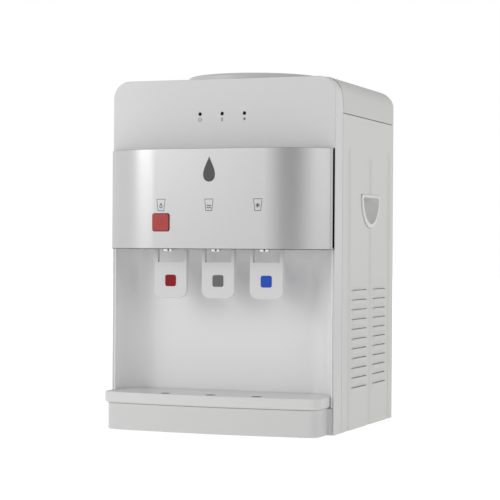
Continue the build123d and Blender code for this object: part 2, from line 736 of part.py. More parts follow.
def hot_tank():
    """Steel boiler with its outlet on top and its feed at the side."""
    tank = rod_z(HOT_R, HOT_X, HOT_Y, HOT_LOW, HOT_TOP)
    tank = soften(tank, tank.edges(), 6)
    tank += rod_z(HOSE_BORE, HOT_X, HOT_Y, HOT_TOP - 1, HOT_TOP + 14)
    tank += rod_y(HOSE_BORE, HOT_X, HOT_LOW + 20, HOT_Y, HOT_Y + HOT_R + 20)
    cavity = rod_z(HOT_R - 1.5, HOT_X, HOT_Y, HOT_LOW + 1.5, HOT_TOP - 1.5)
    return tank - soften(cavity, cavity.edges(), 4.5)


def hot_jacket():
    jacket = rod_z(HOT_R + 12, HOT_X, HOT_Y, HOT_LOW - 10, HOT_TOP)
    jacket -= rod_z(HOT_R + 0.2, HOT_X, HOT_Y, HOT_LOW, HOT_TOP + 1)
    return jacket - rod_y(HOSE_R + 0.5, HOT_X, HOT_LOW + 20, HOT_Y, HOT_Y + HOT_R + 20)


def hose(points, radii):
    """Silicone hose along straight runs joined by arcs."""
    path = FilletPolyline(*points, radius=radii)
    section = Plane(origin=path @ 0, z_dir=path % 0) * (Circle(HOSE_R) - Circle(HOSE_BORE))
    return sweep(section, path=path)


def hot_hose():
    x = TAP_X["hot"]
    z = BARREL_Z
    return hose([(x, BARREL_END, z), (x, 80, z), (HOT_X, HOT_Y, z), (HOT_X, HOT_Y, HOT_TOP)], [20, 9])


def ambient_hose():
    return hose([(0, BARREL_END, BARREL_Z), (0, 50, BARREL_Z), (0, 85, 250), (0, 85, 288)], [14, 10])


def cold_hose():
    x = TAP_X["cold"]
    return hose([(x, BARREL_END, BARREL_Z), (x, 50, BARREL_Z), (45, 100, 250), (45, 100, 288)], [14, 10])


def feed_hose():
    low = HOT_LOW + 20
    drop = [(-30, 190, 288), (-30, 190, 264), (HOT_X, 215, 247), (HOT_X, 215, low)]
    return hose(drop + [(HOT_X, HOT_Y + HOT_R + 14, low)], [13, 12, 9])


# ---------------------------------------------------------------- cooling


def peltier_module():
    y = SEAT_Y + TANK_R + 11
    return block((-20, 20), (y, y + 4), (FAN_Z - 20, FAN_Z + 20))


def heat_sink():
    y = SEAT_Y + TANK_R + 15
    sink = block((-46, 46), (y, y + 5), (FAN_Z - 46, FAN_Z + 46))
    for step in range(12):
        x = -45 + step * 8
        sink += block((x, x + 2), (y + 5, FAN_Y - GAP), (FAN_Z - 46, FAN_Z + 46))
    return sink


def fan_frame():
    half = FAN_SIDE / 2
    frame = block((-half, half), (FAN_Y, FAN_Y + FAN_T), (FAN_Z - half, FAN_Z + half))
    frame = fillet(frame.edges().filter_by(Axis.Y), 5)
    frame -= rod_y(43.5, 0, FAN_Z, FAN_Y - 1, FAN_Y + FAN_T + 1)
    rear = FAN_Y + FAN_T
    strut = block((-45, 45), (rear - 2, rear), (FAN_Z - 2, FAN_Z + 2))
    frame += strut
    frame += block((-2, 2), (rear - 2, rear), (FAN_Z - 45, FAN_Z + 45))
    frame += rod_y(17, 0, FAN_Z, rear - 2, rear)
    return frame + rod_y(2, 0, FAN_Z, FAN_Y + 4, rear)


def fan_impeller():
    """Hub and seven pitched blades on the fan's axle."""
    low = FAN_Y + 1
    high = FAN_Y + FAN_T - 2.8
    hub = rod_y(17, 0, FAN_Z, low, high)
    blade = Pos(29, 0, 0) * Rot(X=38) * Box(25, 15, 1.6)
    for step in range(7):
        hub += Pos(0, (low + high) / 2, FAN_Z) * Rot(Y=step * 360 / 7) * blade
    return hub - rod_y(2 + RUN_FIT, 0, FAN_Z, FAN_Y + 3.5, high + 1)


# ---------------------------------------------------------------- rear fittings and electrics


def switch_housings():
    """Snap-in housings of the two rear rocker switches."""
    housings = []
    for x in SWITCH_X.values():
        z = SWITCH_Z
        case = block((x - 8, x + 8), (CASE_D - 24, CASE_D - 0.5), (z - 12, z + 12))
        case -= block((x - 6.5, x + 6.5), (CASE_D - 20, CASE_D), (z - 10.5, z + 10.5))
        housings.append(case)
    return Compound(children=housings)


def rocker(x):
    """Rocker of a rear switch, drawn at rest with its lower end pressed in."""
    side = make_face(
        [
            Line((-8, -8.5), (4.5, -9.5)),
            ThreePointArc((4.5, -9.5), (2.5, 0), (4.5, 9.5)),
            Line((4.5, 9.5), (-8, 8.5)),
            Line((-8, 8.5), (-8, -8.5)),
        ]
    )
    key = along_x(side, -6.2, 6.2) + rod_x(2, 0, 0, -6.45, 6.45)
    return Pos(x, SWITCH_Y, SWITCH_Z) * Rot(X=SWITCH_REST) * key


def cord_gland():
    """Ring through the rear panel for the mains lead."""
    gland = rod_y(12, GLAND_X, GLAND_Z, CASE_D - WALL - 3, CASE_D - WALL)
    gland += rod_y(9, GLAND_X, GLAND_Z, CASE_D - 14, CASE_D)
    gland = soften(gland, gland.edges().group_by(Axis.Y)[-1], 1)
    return gland - rod_y(GLAND_BORE, GLAND_X, GLAND_Z, CASE_D - 20, CASE_D + 1)


def drain_outlet():
    pipe = rod_y(8, DRAIN_X, DRAIN_Z, CASE_D - 45, CASE_D - 5)
    pipe += rod_y(13, DRAIN_X, DRAIN_Z, CASE_D - 24, CASE_D - 20)
    pipe += block((DRAIN_X - 10, DRAIN_X + 10), (CASE_D - 45, CASE_D - 30), (WALL, DRAIN_Z))
    return pipe - rod_y(5, DRAIN_X, DRAIN_Z, CASE_D - 44, CASE_D - 4)


def drain_cap():
    """Cap on the drain pipe, flush with the rear of the case."""
    cap = rod_y(11.5, DRAIN_X, DRAIN_Z, CASE_D - 18, CASE_D)
    cap = soften(cap, cap.edges().group_by(Axis.Y)[-1], 1)
    for step in range(12):
        turn = Rot(Y=step * 30)
        groove = turn * Pos(11.9, 0, 0) * Rot(X=90) * Cylinder(0.9, 30)
        cap -= Pos(DRAIN_X, CASE_D - 9, DRAIN_Z) * groove
    return cap - rod_y(8 + RUN_FIT, DRAIN_X, DRAIN_Z, CASE_D - 19, CASE_D - 4.8)


def power_board():
    """Circuit board on posts with its transformer, capacitor and relay."""
    low = WALL + 8
    board = block((20, 150), (90, 190), (low, low + 1.6))
    for x in (26, 144):
        for y in (96, 184):
            board += rod_z(3, x, y, WALL, low)
    board += block((40, 85), (110, 150), (low, low + 34))
    board += rod_z(9, 110, 120, low, low + 26)
    return board + block((105, 130), (150, 168), (low, low + 16))


def case_screws():
    """Cross-head screws that hold the rear panel to the flanges of the side panels."""
    screws = []
    face = CASE_D - 0.2
    slot_y = (face - 1, CASE_D)
    for x in (-SCREW_X, SCREW_X):
        for z in SCREW_LEVELS:
            screw = rod_y(SCREW_HEAD_R, x, z, CASE_D - SCREW_HEAD, face)
            screw += rod_y(SCREW_R, x, z, CASE_D - WALL - GAP - 8, CASE_D - SCREW_HEAD)
            screw -= block((x - CROSS_REACH, x + CROSS_REACH), slot_y, (z - CROSS_HALF, z + CROSS_HALF))
            screw -= block((x - CROSS_HALF, x + CROSS_HALF), slot_y, (z - CROSS_REACH, z + CROSS_REACH))
            screws.append(screw)
    return Compound(children=screws)


def save(name, shape):
    """Shift a piece from the case frame to the part's frame and write it."""
    export_step(Pos(0, ORIGIN_Y, FOOT_H) * shape, f"parts/{name}.step")


def main():
    os.makedirs("parts", exist_ok=True)
    pieces = {
        "front_frame": front_frame(),
        "top_cover": top_cover(),
        "right_side_panel": right_side_panel(),
        "right_grip_cup": right_grip_cup(),
        "rear_panel": rear_panel(),
        "base_plate": base_plate(),
        "rubber_feet": rubber_feet(),
        "splash_panel": splash_panel(),
        "tray_shelf": tray_shelf(),
        "drip_tray": drip_tray(),
        "drip_grid": drip_grid(),
        "tap_hood": tap_hood(),
        "safety_button": safety_button(),
        "tap_bracket": tap_bracket(),
        "pivot_pins": pivot_pins(),
        "tap_nuts": tap_nuts(),
        "indicator_lenses": indicator_lenses(),
        "indicator_board": indicator_board(),
        "bottle_collar": bottle_collar(),
        "bottle_probe": bottle_probe(),
        "cold_tank": cold_tank(),
        "cold_jacket": cold_jacket(),
        "hot_tank": hot_tank(),
        "hot_jacket": hot_jacket(),
        "hot_hose": hot_hose(),
        "ambient_hose": ambient_hose(),
        "cold_hose": cold_hose(),
        "feed_hose": feed_hose(),
        "peltier_module": peltier_module(),
        "heat_sink": heat_sink(),
        "fan_frame": fan_frame(),
        "fan_impeller": fan_impeller(),
        "switch_housings": switch_housings(),
        "cord_gland": cord_gland(),
        "drain_outlet": drain_outlet(),
        "drain_cap": drain_cap(),
        "power_board": power_board(),
        "case_screws": case_screws(),
    }
    pieces["left_side_panel"] = mirrored(pieces["right_side_panel"])
    pieces["left_grip_cup"] = mirrored(pieces["right_grip_cup"])
    for name, x in SWITCH_X.items():
        pieces[name] = rocker(x)
    for tap in TAP_NAMES:
        x = TAP_X[tap]
        pieces[f"{tap}_tap_body"] = tap_body(x)
        pieces[f"{tap}_spout"] = spout(x)
        pieces[f"{tap}_lever"] = tap_lever(x)
        pieces[f"{tap}_badge"] = badge(x)
        pieces[f"{tap}_valve_stem"] = valve_stem(x)
        pieces[f"{tap}_valve_spring"] = valve_spring(x)
    for name, shape in pieces.items():
        save(name, shape)
    print(len(pieces), "pieces")


main()
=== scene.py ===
import json
import math

import bmesh
import bpy
from mathutils import Matrix, Vector


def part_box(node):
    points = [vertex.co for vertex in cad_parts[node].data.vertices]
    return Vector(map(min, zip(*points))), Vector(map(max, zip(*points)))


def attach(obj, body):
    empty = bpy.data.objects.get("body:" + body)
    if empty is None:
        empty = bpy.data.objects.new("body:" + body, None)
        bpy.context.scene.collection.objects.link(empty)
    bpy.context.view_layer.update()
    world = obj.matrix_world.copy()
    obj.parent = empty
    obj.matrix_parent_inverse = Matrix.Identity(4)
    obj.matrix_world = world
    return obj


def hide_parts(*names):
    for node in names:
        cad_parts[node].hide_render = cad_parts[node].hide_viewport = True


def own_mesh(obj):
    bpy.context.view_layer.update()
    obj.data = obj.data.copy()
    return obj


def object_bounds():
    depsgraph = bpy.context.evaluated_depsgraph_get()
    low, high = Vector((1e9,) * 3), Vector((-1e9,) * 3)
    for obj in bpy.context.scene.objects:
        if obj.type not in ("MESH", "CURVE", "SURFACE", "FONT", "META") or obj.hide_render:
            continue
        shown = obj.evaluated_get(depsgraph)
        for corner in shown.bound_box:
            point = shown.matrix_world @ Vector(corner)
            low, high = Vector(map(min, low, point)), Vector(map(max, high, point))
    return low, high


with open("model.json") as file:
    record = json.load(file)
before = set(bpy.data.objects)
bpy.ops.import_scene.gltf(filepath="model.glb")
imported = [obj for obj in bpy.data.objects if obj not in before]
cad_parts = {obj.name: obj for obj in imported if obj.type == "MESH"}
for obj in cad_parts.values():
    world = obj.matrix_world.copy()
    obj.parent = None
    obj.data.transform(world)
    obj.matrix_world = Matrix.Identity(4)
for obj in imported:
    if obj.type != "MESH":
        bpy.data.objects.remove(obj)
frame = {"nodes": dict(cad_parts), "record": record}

bl_info = {
    "name": "Countertop Water Dispenser",
    "version": (1, 0, 0),
    "blender": (4, 5, 0),
    "location": "3D View > Sidebar > Dispenser",
    "description": "Finishes a countertop water dispenser around its packed frame",
    "category": "Object",
}

CAD_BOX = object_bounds()
NODES = frame["nodes"]
BEHAVIOUR = frame["record"]["behaviour"]
NODE_BODY = {node: body for body, nodes in BEHAVIOUR["bodies"].items() for node in nodes}
TAPS = ("hot", "ambient", "cold")
WHITE = (1.0, 1.0, 1.0, 1.0)
MM = 0.001
BUTTON_FLANGE = 2.0 * MM
LENS_RIM = 2.6 * MM
LAMP_RING_RADIUS = 2.9 * MM
STRAINER_RADII_MM = (7.3, 5.5, 3.7, 1.9)
# Faces of the hood that look down more steeply than this are its underside, which is painted near-black as painted
# shade.
SHADED_UNDERSIDE_SLOPE = -0.3
# The side panels start this far behind the case's front, which the louvre columns are measured from.
PANEL_SETBACK = 33.9 * MM
LOUVRE_COLUMNS = {"front": (0.080, 0.153), "rear": (0.183, 0.249)}
PAD_MARGIN = 6 * MM
PAD_DEPTH = 4.9 * MM
PAD_HALF_THICKNESS = 0.6 * MM


# ---------------------------------------------------------------- settings


def length(name, note, default):
    return bpy.props.FloatProperty(name=name, description=note, default=default, unit="LENGTH", precision=5)


def angle(name, note, degrees):
    return bpy.props.FloatProperty(
        name=name, description=note, default=math.radians(degrees), subtype="ANGLE"
    )


def share(name, note, default, top=1.0):
    return bpy.props.FloatProperty(
        name=name, description=note, default=default, min=0.0, max=top, subtype="FACTOR"
    )


def power(name, note, default):
    return bpy.props.FloatProperty(name=name, description=note, default=default)


def colour(name, note, default):
    return bpy.props.FloatVectorProperty(
        name=name, description=note, default=default, size=3, min=0.0, max=1.0, subtype="COLOR"
    )


class DISPENSER_PG_stage(bpy.types.PropertyGroup):
    camera_place: bpy.props.FloatVectorProperty(
        name="Camera",
        description="Where the camera stands, from the foot of the case's front, in the middle",
        default=(0.914, -2.298, 0.256),
        size=3,
        subtype="TRANSLATION",
    )
    camera_yaw: angle("Yaw", "How far the camera turns from +Y towards -X", 20.74)
    camera_pitch: angle("Pitch", "How far the camera looks up", 0.03)
    camera_roll: angle("Roll", "How far the camera leans", 0.37)
    camera_lens: bpy.props.FloatProperty(
        name="Lens", description="Focal length in mm", default=125.0, min=10.0
    )
    ambient: bpy.props.FloatProperty(
        name="Ambient", description="Strength of the room's light", default=0.95, min=0.0
    )
    shade_azimuth: angle("Shade azimuth", "Middle of the darker stretch of the room, from -Y towards +X", 17.0)
    shade_depth: share("Shade depth", "How dark that stretch is", 0.94)
    ceiling_depth: share("Ceiling depth", "How much darker the ceiling is than the walls", 0.70)
    left_power: power("Left softbox", "Power of the left softbox", 23.0)
    right_power: power("Right softbox", "Power of the right softbox", 3.5)
    top_power: power("Top softbox", "Power of the top softbox", 1.5)
    floor_colour: colour("Floor", "Colour of the floor", (0.42, 0.42, 0.42))
    floor_glow: share("Floor glow", "How much the floor is lifted towards white, for the camera only", 0.40)
    floor_bounce: share("Floor bounce", "How much light the floor itself throws up", 0.50)


class DISPENSER_PG_case(bpy.types.PropertyGroup):
    front_colour: colour("Front", "Upper front face and its side strips", (0.745, 0.745, 0.748))
    side_colour: colour("Sides", "Side panels", (0.75, 0.75, 0.735))
    # Darker than the sides of the same textured plastic: painted shade, for the top catching less light.
    top_colour: colour("Top", "Top cover", (0.70, 0.70, 0.68))
    rear_colour: colour("Rear", "Rear panel and base", (0.62, 0.62, 0.60))
    grip_colour: colour("Grip", "Finger cups in the sides", (0.87, 0.87, 0.865))
    seat_colour: colour("Bottle seat", "Ring, funnel and throat", (0.71, 0.715, 0.72))
    edge: length("Edge radius", "Softening of the moulded edges", 0.0006)


class DISPENSER_PG_louvre(bpy.types.PropertyGroup):
    rows: bpy.props.IntProperty(name="Rows", description="Louvres in each column", default=11, min=1)
    pitch: length("Pitch", "Height from one louvre to the next", 0.014)
    low: length("Lowest", "Height of the lowest slit above the foot of the panel", 0.060)
    height: length("Height", "Height of one louvre's sloping face", 0.0075)
    rise: length("Rise", "How far the lip stands out of the panel", 0.0030)
    end_length: length("End length", "Run-out at each end of a louvre", 0.006)
    felt_colour: colour("Felt", "Dust filters behind the louvres", (0.85, 0.85, 0.84))
    lip_gap: length("Lip gap", "Drop from the middle of the slit to the lip", 0.0001)


class DISPENSER_PG_hood(bpy.types.PropertyGroup):
    pearl_colour: colour("Pearl", "Silver-white finish of the hood", (0.61, 0.61, 0.615))
    metal: share("Metal", "Share of metallic flake in the finish", 0.55)
    roughness: share("Roughness", "Sheen of the hood", 0.30)
    ink_colour: colour("Ink", "Printed marks", (0.075, 0.075, 0.08))
    drop_height: length("Droplet", "Height of the plain droplet mark", 0.036)
    icon_height: length("Icons", "Height of the cup marks over the taps", 0.0163)
    line: length("Line", "Width of the printed lines", 0.0012)


class DISPENSER_PG_tap(bpy.types.PropertyGroup):
    lever_colour: colour("Lever", "Paddle levers", (0.78, 0.78, 0.785))
    hot_colour: colour("Hot", "Badge of the hot tap", (0.31, 0.011, 0.015))
    ambient_colour: colour("Ambient", "Badge of the ambient tap", (0.175, 0.175, 0.175))
    cold_colour: colour("Cold", "Badge of the cold tap", (0.022, 0.09, 0.56))
    button_colour: colour("Button", "Child-lock button", (0.46, 0.034, 0.035))


class DISPENSER_PG_tray(bpy.types.PropertyGroup):
    colour: colour("Tray", "Drip tray and cup plate", (0.79, 0.79, 0.785))
    shelf_colour: colour("Shelf", "Foot of the front", (0.73, 0.73, 0.725))
    drain_pitch: length("Drain pitch", "Spacing of the drain holes", 0.069)
    drain_offset: length("Drain place", "Place of the drain holes behind the case's front", -0.037)
    # Lighter than the case: painted light that lifts the shade in the alcove under the hood.
    splash_colour: colour("Splash wall", "Glossy wall of the alcove", (0.90, 0.90, 0.90))


# ---------------------------------------------------------------- shader groups and materials


class Nodes:
    """Adds nodes to a tree and joins them by socket names."""

    def __init__(self, tree):
        self.tree = tree

    def add(self, kind, inputs=None, **values):
        node = self.tree.nodes.new(kind)
        for name, value in values.items():
            setattr(node, name, value)
        for key, value in (inputs or {}).items():
            if isinstance(value, bpy.types.NodeSocket):
                self.tree.links.new(value, node.inputs[key])
            else:
                node.inputs[key].default_value = value
        return node

    def maths(self, operation, first, second=0.0, third=0.0):
        return self.add("ShaderNodeMath", {0: first, 1: second, 2: third}, operation=operation).outputs[0]


def new_group(name, kind, inputs, outputs):
    """An empty node group with named sockets, each given as (name, type, default)."""
    tree = bpy.data.node_groups.new(name, kind)
    for socket, socket_type, default in inputs:
        made = tree.interface.new_socket(socket, in_out="INPUT", socket_type=socket_type)
        if default is not None:
            made.default_value = default
    for socket, socket_type in outputs:
        tree.interface.new_socket(socket, in_out="OUTPUT", socket_type=socket_type)
    return tree, Nodes(tree)


FLOAT, RGBA = "NodeSocketFloat", "NodeSocketColor"


def moulded_skin():
    """Shader group: faint cloudy tint, uneven sheen and fine spark-eroded grain of moulded plastic."""
    if "Moulded skin" in bpy.data.node_groups:
        return bpy.data.node_groups["Moulded skin"]
    inputs = [
        ("Colour", RGBA, (0.7, 0.7, 0.7, 1.0)),
        ("Cloud", FLOAT, 0.02),
        ("Roughness", FLOAT, 0.4),
        ("Sheen change", FLOAT, 0.05),
        ("Grain size", FLOAT, 1800.0),
    ]
    tree, nodes = new_group(
        "Moulded skin", "ShaderNodeTree", inputs, [("Colour", RGBA), ("Roughness", FLOAT), ("Height", FLOAT)]
    )
    given = nodes.add("NodeGroupInput").outputs
    place = nodes.add("ShaderNodeTexCoord").outputs["Object"]
    cloud = nodes.add("ShaderNodeTexNoise", {"Vector": place, "Scale": 9.0, "Detail": 3.0}).outputs["Fac"]
    streak = nodes.add("ShaderNodeTexNoise", {"Vector": place, "Scale": 46.0, "Detail": 4.0}).outputs["Fac"]
    grain = nodes.add("ShaderNodeTexNoise", {"Vector": place, "Scale": given["Grain size"], "Detail": 2.0})
    off = nodes.maths("SUBTRACT", cloud, 0.5)
    lift = nodes.maths("MULTIPLY_ADD", off, given["Cloud"], 1.0)
    tint = nodes.add("ShaderNodeVectorMath", {0: given["Colour"], "Scale": lift}, operation="SCALE").outputs[0]
    uneven = nodes.maths("SUBTRACT", streak, 0.5)
    rough = nodes.maths("MULTIPLY_ADD", uneven, given["Sheen change"], given["Roughness"])
    sink = {"Colour": tint, "Roughness": rough, "Height": grain.outputs["Fac"]}
    nodes.add("NodeGroupOutput", sink)
    return tree


def metal_skin():
    """Shader group: drawn lines and smears of bare or plated metal."""
    if "Metal skin" in bpy.data.node_groups:
        return bpy.data.node_groups["Metal skin"]
    inputs = [
        ("Colour", RGBA, (0.7, 0.7, 0.7, 1.0)),
        ("Roughness", FLOAT, 0.2),
        ("Lines", FLOAT, 0.1),
        ("Line size", FLOAT, 900.0),
    ]
    tree, nodes = new_group(
        "Metal skin", "ShaderNodeTree", inputs, [("Colour", RGBA), ("Roughness", FLOAT), ("Height", FLOAT)]
    )
    given = nodes.add("NodeGroupInput").outputs
    place = nodes.add("ShaderNodeTexCoord").outputs["Object"]
    drawn = nodes.add("ShaderNodeMapping", {"Vector": place, "Scale": (1.0, 1.0, 0.04)}).outputs[0]
    lines = nodes.add("ShaderNodeTexNoise", {"Vector": drawn, "Scale": given["Line size"], "Detail": 3.0})
    smear = nodes.add("ShaderNodeTexNoise", {"Vector": place, "Scale": 60.0, "Detail": 3.0}).outputs["Fac"]
    ridge = nodes.maths("SUBTRACT", lines.outputs["Fac"], 0.5)
    rough = nodes.maths("MULTIPLY_ADD", ridge, given["Lines"], given["Roughness"])
    rough = nodes.maths("MULTIPLY_ADD", nodes.maths("SUBTRACT", smear, 0.5), 0.06, rough)
    lift = nodes.maths("MULTIPLY_ADD", ridge, given["Lines"], 1.0)
    tint = nodes.add("ShaderNodeVectorMath", {0: given["Colour"], "Scale": lift}, operation="SCALE").outputs[0]
    sink = {"Colour": tint, "Roughness": rough, "Height": lines.outputs["Fac"]}
    nodes.add("NodeGroupOutput", sink)
    return tree


def skin_material(name, group, rgb, skin, bump, fixed):
    """A Principled material fed by one skin group; fixed values sit on the shader's own sockets."""
    if name in bpy.data.materials:
        return bpy.data.materials[name]
    made = bpy.data.materials.new(name)
    made.use_nodes = True
    nodes = Nodes(made.node_tree)
    shader = made.node_tree.nodes["Principled BSDF"]
    source = nodes.add("ShaderNodeGroup", node_tree=group)
    source.inputs["Colour"].default_value = (*rgb, 1.0)
    for socket, value in skin.items():
        source.inputs[socket].default_value = value
    for socket, value in fixed.items():
        shader.inputs[socket].default_value = value
    relief = nodes.add("ShaderNodeBump", {"Height": source.outputs["Height"], "Distance": bump, "Strength": 0.5})
    made.node_tree.links.new(source.outputs["Colour"], shader.inputs["Base Color"])
    made.node_tree.links.new(source.outputs["Roughness"], shader.inputs["Roughness"])
    made.node_tree.links.new(relief.outputs["Normal"], shader.inputs["Normal"])
    made.diffuse_color = (*rgb, 1.0)
    return made


def plastic(name, rgb, roughness=0.38, grain=0.00002, cloud=0.02, coat=0.0, metal=0.0, ior=1.5, grain_size=1800.0):
    skin = {"Roughness": roughness, "Cloud": cloud, "Grain size": grain_size}
    fixed = {"Metallic": metal, "Coat Weight": coat, "Coat Roughness": 0.08, "IOR": ior}
    return skin_material(name, moulded_skin(), rgb, skin, grain, fixed)


def metal(name, rgb, roughness=0.25, lines=0.12, relief=0.00001):
    skin = {"Roughness": roughness, "Lines": lines}
    return skin_material(name, metal_skin(), rgb, skin, relief, {"Metallic": 1.0})


def fitting_white():
    return plastic("Fitting white", (0.75, 0.75, 0.74), roughness=0.4)


def settings():
    return bpy.context.scene.dispenser


# ---------------------------------------------------------------- mesh helpers


def add_object(name, mesh):
    made = bpy.data.objects.new(name, mesh)
    bpy.context.scene.collection.objects.link(made)
    return made


def plain(source):
    """Turns an object with modifiers, or a curve, into a plain mesh object of the same name."""
    depsgraph = bpy.context.evaluated_depsgraph_get()
    mesh = bpy.data.meshes.new_from_object(source.evaluated_get(depsgraph))
    name = source.name
    bpy.data.objects.remove(source)
    mesh.name = name
    return add_object(name, mesh)


def dress(piece, material):
    piece.data.materials.clear()
    piece.data.materials.append(material)


def smooth(piece, degrees=50.0):
    piece.data.shade_smooth()
    piece.data.set_sharp_from_angle(angle=math.radians(degrees))


def even_shading(piece, degrees=50.0):
    """Smooth shading in which large flat faces stay flat, beside the rounded edges."""
    smooth(piece, degrees)
    weighted = piece.modifiers.new("Even shading", "WEIGHTED_NORMAL")
    weighted.keep_sharp = True
    return plain(piece)


def settle(piece, body, material=None):
    """Gives a finished piece its material and body."""
    if material:
        dress(piece, material)
    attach(piece, body)
    return piece


def merged_copy(node):
    """A clean copy of a CAD node's mesh: doubles merged and flat areas joined."""
    bm = bmesh.new()
    bm.from_mesh(NODES[node].data)
    bmesh.ops.remove_doubles(bm, verts=bm.verts, dist=0.002 * MM)
    bmesh.ops.dissolve_limit(bm, angle_limit=math.radians(0.2), verts=bm.verts, edges=bm.edges)
    mesh = bpy.data.meshes.new(node)
    bm.to_mesh(mesh)
    bm.free()
    return add_object(f"{node}_finished", mesh)


def finish_node(node, material, edge=0.0005, segments=2, corner=35.0):
    """Stands a soft-edged copy in a CAD node's place."""
    piece = merged_copy(node)
    if edge:
        bevel = piece.modifiers.new("Soft edges", "BEVEL")
        bevel.width = edge
        bevel.segments = segments
        bevel.limit_method = "ANGLE"
        bevel.angle_limit = math.radians(corner)
        bevel.use_clamp_overlap = True
        bevel.miter_outer = "MITER_ARC"
        piece = plain(piece)
    piece = even_shading(piece)
    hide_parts(node)
    return settle(piece, NODE_BODY[node], material)


def middle(node):
    low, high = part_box(node)
    return (low + high) / 2


def stroke(name, paths, width, plane_y, depth):
    """Raised printed lines on a face that looks along -Y: flattened round lines along paths of (x, z) points."""
    curve = bpy.data.curves.new(name, "CURVE")
    curve.dimensions = "3D"
    curve.bevel_depth = width / 2
    curve.bevel_resolution = 2
    curve.use_fill_caps = True
    for points, closed in paths:
        spline = curve.splines.new("POLY")
        spline.points.add(len(points) - 1)
        for point, (x, z) in zip(spline.points, points):
            point.co = (x, 0.0, z, 1.0)
        spline.use_cyclic_u = closed
    line = plain(add_object(name, curve))
    flat = Matrix.Diagonal((1.0, 2 * depth / width, 1.0, 1.0))
    line.data.transform(Matrix.Translation((0.0, plane_y, 0.0)) @ flat)
    smooth(line, 60.0)
    return line


def slab(name, outline, plane_y, depth):
    """A thin plate on a face that looks along -Y, from one closed outline of (x, z) points."""
    bm = bmesh.new()
    front = [bm.verts.new((x, plane_y - depth, z)) for x, z in outline]
    back = [bm.verts.new((x, plane_y + depth, z)) for x, z in outline]
    bm.faces.new(front)
    bm.faces.new(list(reversed(back)))
    for step in range(len(outline)):
        after = (step + 1) % len(outline)
        bm.faces.new((front[step], back[step], back[after], front[after]))
    bmesh.ops.recalc_face_normals(bm, faces=bm.faces)
    mesh = bpy.data.meshes.new(name)
    bm.to_mesh(mesh)
    bm.free()
    return add_object(name, mesh)


def arc(centre, radius, start, end, steps):
    """Points of an arc, with angles in degrees from +x."""
    points = []
    for step in range(steps + 1):
        turn = math.radians(start + (end - start) * step / steps)
        points.append((centre[0] + radius * math.cos(turn), centre[1] + radius * math.sin(turn)))
    return points


def ring_path(centre, radius):
    """A closed round path."""
    return arc(centre, radius, 0, 345, 23), True


def lamp_places():
    """How far the outer lamps stand from the middle one, and the height of all three."""
    low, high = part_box("indicator_lenses")
    return (high.x - low.x) / 2 - LENS_RIM, (low.z + high.z) / 2


# ---------------------------------------------------------------- stage


